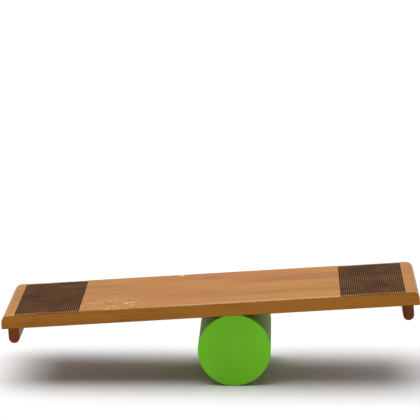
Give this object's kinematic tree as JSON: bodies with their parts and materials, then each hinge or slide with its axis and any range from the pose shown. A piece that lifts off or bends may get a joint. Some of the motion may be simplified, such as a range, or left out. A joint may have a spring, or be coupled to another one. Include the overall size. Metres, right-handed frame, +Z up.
{
  "type": "balance board",
  "caption": "Wooden rocker balance board: a plank deck with grooved foot zones and end stop rails on a loose round roller.",
  "frame": {"origin": "on the floor under the middle of the deck", "axes": "+Z up, +X along the deck towards the end that stands higher at rest, -Y towards the front edge; the deck is tipped 3.75 degrees about Y at rest"},
  "size_m": [0.7989, 0.28, 0.1896],
  "materials": {
    "deck_wood": "satin clear lacquer over warm honey-brown hardwood",
    "rail_wood": "oiled dark red-brown hardwood",
    "roller_gloss": "glossy green",
    "roller_face": "satin green",
    "rib_plastic": "plain moulded, unseen",
    "screw_steel": "zinc plated",
    "dowel_wood": "plain beech, unseen"
  },
  "bodies": {
    "roller": {"roller_tube": "roller_gloss", "front_end_disc": "roller_face", "rear_end_disc": "roller_face"},
    "rib": {"roller_middle_rib": "rib_plastic"},
    "deck": {"deck_stave_1": "deck_wood", "deck_stave_2": "deck_wood", "deck_stave_3": "deck_wood", "deck_stave_4": "deck_wood", "deck_stave_5": "deck_wood", "left_stop_rail": "rail_wood", "right_stop_rail": "rail_wood", "left_rail_screw_1": "screw_steel", "left_rail_screw_2": "screw_steel", "left_rail_screw_3": "screw_steel", "right_rail_screw_1": "screw_steel", "right_rail_screw_2": "screw_steel", "right_rail_screw_3": "screw_steel", "left_rail_dowel_1": "dowel_wood", "left_rail_dowel_2": "dowel_wood", "right_rail_dowel_1": "dowel_wood", "right_rail_dowel_2": "dowel_wood"}
  },
  "joints": [
    {"name": "deck_tilt", "type": "hinge", "parent": "roller", "child": "rib", "pos_m": [0.04551, 0, 0.07], "axis": [0, 1, 0], "range_deg": [-11.5, 22.7]},
    {"name": "deck_travel", "type": "slide", "parent": "rib", "child": "deck", "axis": [-0.9979, 0, -0.0654], "range_m": [-0.356, 0.274]}
  ]
}
